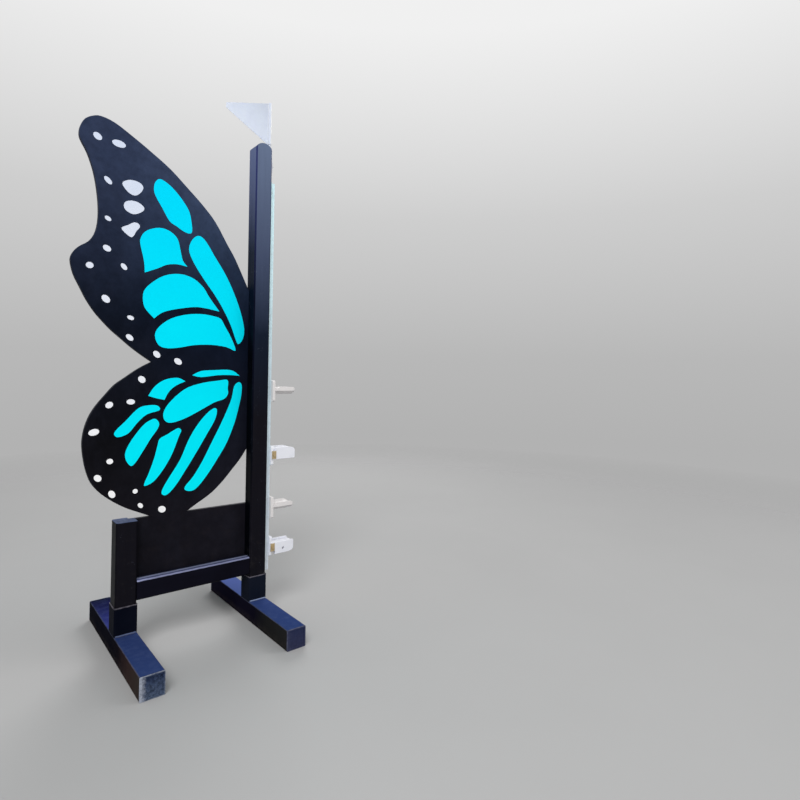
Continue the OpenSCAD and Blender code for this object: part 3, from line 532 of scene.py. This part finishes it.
def moulded(name, tone, shade, grime, rough):
    """Moulded plastic: fine texture, handling marks, grey rub on edges, dirt settled on top."""
    k = Look(name)
    colour = k.mix(k.vary(k.noise(18, 4, 0.6)), tone, shade)
    marks = k.span(k.noise(70, 6, 0.8, k.stretched(0.25, 1, 1)), 0.62, 0.8)
    colour = k.mix(k.times(marks, 0.25), colour, grime)
    rub_and_sheen = k.times(k.edges(0.003), k.span(k.noise(90, 4, 0.7), 0.42, 0.7))
    colour = k.mix(k.times(rub_and_sheen, 0.3), colour, grime)
    upward = k.span(k.facing(), 0.6, 0.95)
    settled = k.times(upward, k.vary(k.noise(55, 5, 0.7), 0.5, 0.85))
    colour = k.mix(settled, colour, grime)
    k.set(Base_Color=colour, Specular_IOR_Level=0.3)
    k.set(Subsurface_Weight=0.1, Subsurface_Radius=(0.006, 0.006, 0.006))
    k.set(Roughness=k.vary(k.noise(40, 4), rough - 0.06, rough + 0.1))
    k.set(Normal=k.bump(k.noise(900, 2), 0.12, 0.0003))
    return k.mat


def track_look():
    """Zinc-coated sheet: soft spangle, drawn marks along its length, whitish bloom."""
    k = Look("track_zinc")
    spangle = k.axis(k.cells(110, "Color"), "X")
    level = k.wander(k.height(), k.noise(7, 4), 0.1)
    colour = k.ramp(
        level,
        (0.20, srgb(212, 220, 228)),
        (1.00, srgb(200, 222, 230)),
        (1.65, srgb(206, 236, 242)),
    )
    colour = k.scaled(colour, k.span(spangle, 0.1, 0.9, 0.94, 1.03))
    bloom = k.span(k.noise(26, 5, 0.7), 0.5, 0.75, 0.0, 0.3)
    colour = k.mix(bloom, colour, srgb(222, 234, 238))
    rub_and_sheen = k.times(k.edges(0.0015), k.span(k.noise(120, 3), 0.4, 0.6))
    colour = k.mix(k.times(rub_and_sheen, 0.25), colour, srgb(140, 152, 162))
    k.set(Base_Color=colour, Metallic=0.25)
    k.set(Roughness=k.span(spangle, 0.0, 1.0, 0.42, 0.52))
    k.set(Normal=k.bump(k.noise(300, 2, 0.5, k.stretched(1, 1, 0.04)), 0.1, 0.0003))
    return k.mat


def plated(name, tone, shade, metallic):
    """Plated fastener: clouded plating with an uneven sheen."""
    k = Look(name)
    colour = k.mix(k.vary(k.noise(160, 4, 0.65)), tone, shade)
    k.set(Base_Color=colour, Metallic=metallic)
    k.set(Roughness=k.vary(k.noise(260, 3), 0.32, 0.48))
    k.set(Normal=k.bump(k.noise(900, 2), 0.1, 0.0002))
    return k.mat


def flag_look():
    """Thin white flag: close weave pattern pressed in the sheet, brighter along its rim as painted
    light.
    """
    k = Look("flag_sheet")
    weave = k.times(k.wave(260.0, 0.6, "Z"), k.wave(260.0, 0.6, "DIAGONAL"))
    colour = k.mix(k.vary(k.noise(14, 4)), srgb(208, 216, 229), srgb(202, 209, 224))
    broad_face = max(nodes["flag_blade"].data.polygons, key=lambda f: f.area)
    turned = k.dot(k.add("ShaderNodeTexCoord").outputs["Normal"], broad_face.normal)
    # The rim is written paler, painted light against the shade on its narrow faces
    rim = k.span(k.calc("ABSOLUTE", turned), 0.85, 0.5)
    colour = k.mix(rim, colour, srgb(252, 253, 255))
    k.set(Base_Color=k.mix(k.times(weave, 0.1), colour, srgb(186, 195, 215)))
    k.set(Roughness=k.vary(k.noise(60, 3), 0.42, 0.55), Specular_IOR_Level=0.2)
    k.set(Subsurface_Weight=0.2, Subsurface_Radius=(0.004, 0.004, 0.005))
    k.set(Normal=k.bump(weave, 0.2, 0.0003))
    return k.mat


post_paint = post_look()
rail_paint = rail_look()
sheet_paint = sheet_look()
blue_film = film("blue_film", srgb(0, 240, 255), srgb(0, 214, 247))
white_film = film("white_film", srgb(252, 252, 253), srgb(206, 215, 233))
foot_coat = foot_look()
bare_metal = srgb(124, 120, 130)
inner_coat = socket_look("inner_coat", srgb(19, 24, 36), srgb(24, 28, 40), bare_metal)
outer_coat = socket_look("outer_coat", srgb(9, 12, 23), srgb(14, 17, 28), bare_metal)
# The welds' pale blue coats are painted highlights along the beads, paler on the inner socket
weld_highlight_coats = {
    "inner": socket_look(
        "inner_weld_highlight", srgb(118, 132, 166), srgb(138, 152, 184), srgb(168, 178, 204)
    ),
    "outer": socket_look(
        "outer_weld_highlight", srgb(64, 74, 104), srgb(92, 104, 138), srgb(132, 142, 172)
    ),
}
inner_cap = cap_look(
    "inner_cap",
    "inner_foot_plugs",
    upper=srgb(43, 49, 78),
    lower=srgb(50, 53, 78),
    dust_and_sheen=srgb(128, 130, 146),
    side_dust=0.08,
    rim_dust=0.45,
    contrast=0.15,
)
outer_cap = cap_look(
    "outer_cap",
    "outer_foot_plugs",
    upper=srgb(38, 48, 73),
    lower=srgb(72, 84, 106),
    dust_and_sheen=srgb(176, 182, 196),
    side_dust=0.95,
    rim_dust=0.57,
    contrast=0.55,
)
warm_nylon = moulded(
    "warm_nylon", srgb(226, 222, 221), srgb(217, 214, 214), srgb(158, 154, 153), rough=0.45
)
cool_nylon = moulded(
    "cool_nylon", srgb(237, 238, 245), srgb(228, 230, 238), srgb(162, 164, 173), rough=0.45
)
rod_plastic = moulded(
    "rod_plastic", srgb(218, 223, 236), srgb(206, 212, 227), srgb(160, 164, 176), rough=0.4
)
track_zinc = track_look()
bright_zinc = plated("bright_zinc", srgb(186, 190, 197), srgb(154, 159, 168), metallic=0.6)
yellow_zinc = plated("yellow_zinc", srgb(200, 181, 144), srgb(180, 154, 108), metallic=0.4)
flag_sheet = flag_look()

# Finish of each of the record's material slots, and of the nodes that differ from their slot
looks = {
    "black_timber": post_paint,
    "black_sheet": sheet_paint,
    "blue_film": blue_film,
    "white_film": white_film,
    "steel": bright_zinc,
    "black_steel": foot_coat,
    "black_plastic": inner_cap,
    "galvanised": track_zinc,
    "white_nylon": cool_nylon,
    "yellow_zinc": yellow_zinc,
    "white_plastic": flag_sheet,
}
special = {
    "bottom_rail": rail_paint,
    "inner_socket": inner_coat,
    "outer_socket": outer_coat,
    "outer_foot_plugs": outer_cap,
    "top_cup": warm_nylon,
    "low_cup": warm_nylon,
    "flag_rod": rod_plastic,
}


def material_of(node):
    return special.get(node, looks[slot_of_node[node]])


def dress(obj, mat):
    obj.data.materials.clear()
    obj.data.materials.append(mat)


for name, obj in nodes.items():
    dress(obj, material_of(name))


def add_object(name, data):
    obj = bpy.data.objects.new(name, data)
    scene.collection.objects.link(obj)
    return obj


def softened(node, width):
    """A copy of a CAD node with its outward sharp edges rounded, which stands for that node."""
    mesh = nodes[node].data.copy()
    bm = bmesh.new()
    bm.from_mesh(mesh)
    bmesh.ops.remove_doubles(bm, verts=bm.verts, dist=SAME_POINT)
    bmesh.ops.dissolve_limit(
        bm,
        angle_limit=FLAT_TURN,
        verts=bm.verts,
        edges=bm.edges,
        use_dissolve_boundaries=False,
    )
    weights = bm.edges.layers.float.new("bevel_weight_edge")
    for e in bm.edges:
        e[weights] = float(e.calc_face_angle_signed(0.0) > SHARP_TURN)
    for f in bm.faces:
        f.smooth = True
    bm.to_mesh(mesh)
    bm.free()
    obj = add_object(node + "_soft", mesh)
    mesh.set_sharp_from_angle(angle=SHARP_TURN)
    bevel = obj.modifiers.new("round", "BEVEL")
    bevel.width = width
    bevel.segments = ROUND_STEPS
    bevel.limit_method = "WEIGHT"
    bevel.use_clamp_overlap = False
    bevel.loop_slide = False
    bevel.harden_normals = True
    dress(obj, material_of(node))
    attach(obj, body_of_node[node])
    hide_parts(node)


for node, width in ROUND_WIDTHS.items():
    softened(node, width)


def weld_bead(name, start, end, outward, coat):
    """Row of overlapping ripples laid along the foot of a socket."""
    start, outward, upward = Vector(start), Vector(outward), Vector((0, 0, 1))
    run = Vector(end) - start
    rings = int(run.length / WELD_RING_STEP)
    bm = bmesh.new()
    loops = []
    for i in range(rings + 1):
        u = i / rings
        ripple = abs(math.sin(math.pi * u * run.length / WELD_RIPPLE_STEP))
        radius = WELD_RADIUS * (1 - WELD_RIPPLE_DEPTH + WELD_RIPPLE_DEPTH * ripple)
        if i in (0, rings):
            radius *= WELD_END
        middle = start + run * u
        loop = []
        for j in range(WELD_SIDES):
            a = 2 * math.pi * j / WELD_SIDES
            spoke = outward * math.cos(a) + upward * math.sin(a)
            loop.append(bm.verts.new(middle + spoke * radius))
        loops.append(loop)
    for a, b in zip(loops, loops[1:]):
        for j in range(WELD_SIDES):
            after = (j + 1) % WELD_SIDES
            bm.faces.new((a[j], a[after], b[after], b[j]))
    bm.faces.new(loops[0])
    bm.faces.new(list(reversed(loops[-1])))
    bmesh.ops.recalc_face_normals(bm, faces=bm.faces)
    for f in bm.faces:
        f.smooth = True
    mesh = bpy.data.meshes.new(name)
    bm.to_mesh(mesh)
    bm.free()
    obj = add_object(name, mesh)
    dress(obj, coat)
    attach(obj, "frame")


for side in ("inner", "outer"):
    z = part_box(side + "_socket")[0].z + WELD_ABOVE_FOOT
    foot_lo, foot_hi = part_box(side + "_foot_tube")
    half = (foot_hi.x - foot_lo.x) / 2
    mid_x = (foot_lo.x + foot_hi.x) / 2
    reach = half - WELD_FROM_CORNER
    for tag, s in (("front", -1), ("back", 1)):
        y = s * (half + WELD_OFF_SOCKET)
        weld_bead(
            f"{side}_weld_{tag}",
            (mid_x - reach, y, z),
            (mid_x + reach, y, z),
            (0, s, 0),
            weld_highlight_coats[side],
        )


def studio_floor():
    """Pale grey disc that fades out into the backdrop."""
    k = Look("floor")
    tone = k.mix(k.noise(1.2, 4), srgb(172, 172, 172), srgb(166, 166, 166))
    k.set(Base_Color=tone, Roughness=0.95, Specular_IOR_Level=0.1)
    distance = k.add("ShaderNodeVectorMath", operation="LENGTH")
    k.put(distance.inputs[0], k.place)
    blend = k.add("ShaderNodeMixShader")
    k.put(blend.inputs[0], k.span(distance.outputs["Value"], FLOOR_SOLID, FLOOR_GONE))
    k.put(blend.inputs[1], k.bsdf.outputs[0])
    k.put(blend.inputs[2], k.add("ShaderNodeBsdfTransparent").outputs[0])
    k.put(k.out.inputs[0], blend.outputs[0])
    bm = bmesh.new()
    bmesh.ops.create_circle(bm, cap_ends=True, segments=FLOOR_SIDES, radius=FLOOR_GONE)
    mesh = bpy.data.meshes.new("floor")
    bm.to_mesh(mesh)
    bm.free()
    floor = add_object("floor", mesh)
    dress(floor, k.mat)


studio_floor()


def studio_world():
    """Even soft light, and a grey backdrop that pales upwards for what looks straight at it."""
    world = bpy.data.worlds.new("studio")
    scene.world = world
    world.use_nodes = True
    tree = world.node_tree
    tree.nodes.clear()
    add = tree.nodes.new
    link = tree.links.new
    place = add("ShaderNodeTexCoord")
    parts = add("ShaderNodeSeparateXYZ")
    height = add("ShaderNodeMapRange")
    height.inputs["From Min"].default_value = -1.0
    ramp = add("ShaderNodeValToRGB")
    points = ramp.color_ramp.elements
    points[0].color = srgb(176, 176, 176)
    points[1].color = srgb(246, 246, 246)
    for at, grey in ((0.45, 178), (0.52, 184), (0.64, 206), (0.77, 240)):
        points.new(at).color = srgb(grey, grey, grey)
    seen = add("ShaderNodeBackground")
    light = add("ShaderNodeBackground")
    light.inputs["Color"].default_value = (1.0, 1.0, 1.0, 1.0)
    light.inputs["Strength"].default_value = WORLD_LIGHT
    path = add("ShaderNodeLightPath")
    either = add("ShaderNodeMath")
    direct = add("ShaderNodeMath")
    direct.use_clamp = True
    pick = add("ShaderNodeMixShader")
    final = add("ShaderNodeOutputWorld")
    link(place.outputs["Generated"], parts.inputs[0])
    link(parts.outputs["Z"], height.inputs["Value"])
    link(height.outputs["Result"], ramp.inputs[0])
    link(ramp.outputs[0], seen.inputs["Color"])
    link(path.outputs["Is Camera Ray"], either.inputs[0])
    link(path.outputs["Is Glossy Ray"], either.inputs[1])
    link(either.outputs[0], direct.inputs[0])
    link(path.outputs["Is Transmission Ray"], direct.inputs[1])
    link(direct.outputs[0], pick.inputs[0])
    link(light.outputs[0], pick.inputs[1])
    link(seen.outputs[0], pick.inputs[2])
    link(pick.outputs[0], final.inputs[0])


studio_world()


def lamp(name, place, target, watts):
    data = bpy.data.lights.new(name, "AREA")
    data.shape = "DISK"
    data.size = LAMP_SIZE
    data.energy = watts
    obj = add_object(name, data)
    obj.location = place
    obj.rotation_euler = (Vector(target) - Vector(place)).to_track_quat("-Z", "Y").to_euler()


lamp("key", place=(-2.6, -3.2, 4.6), target=(-0.2, 0, 0.8), watts=200)
lamp("fill", place=(3.4, -2.6, 2.8), target=(0, 0, 0.8), watts=40)
lamp("rear", place=(2.6, 3.6, 3.6), target=(-0.2, 0, 0.9), watts=125)

camera = bpy.data.cameras.new("camera")
camera.sensor_width = SENSOR_WIDTH
camera.lens = SENSOR_WIDTH * FOCAL_PIXELS / PHOTO_SIDE
camera.shift_y = (AXIS_ROW - PHOTO_SIDE / 2) / PHOTO_SIDE
eye = add_object("camera", camera)
turn = Matrix((CAMERA_RIGHT, CAMERA_UP, -CAMERA_AHEAD)).transposed().to_4x4()
eye.matrix_world = Matrix.Translation(CAMERA_PLACE) @ turn
scene.camera = eye
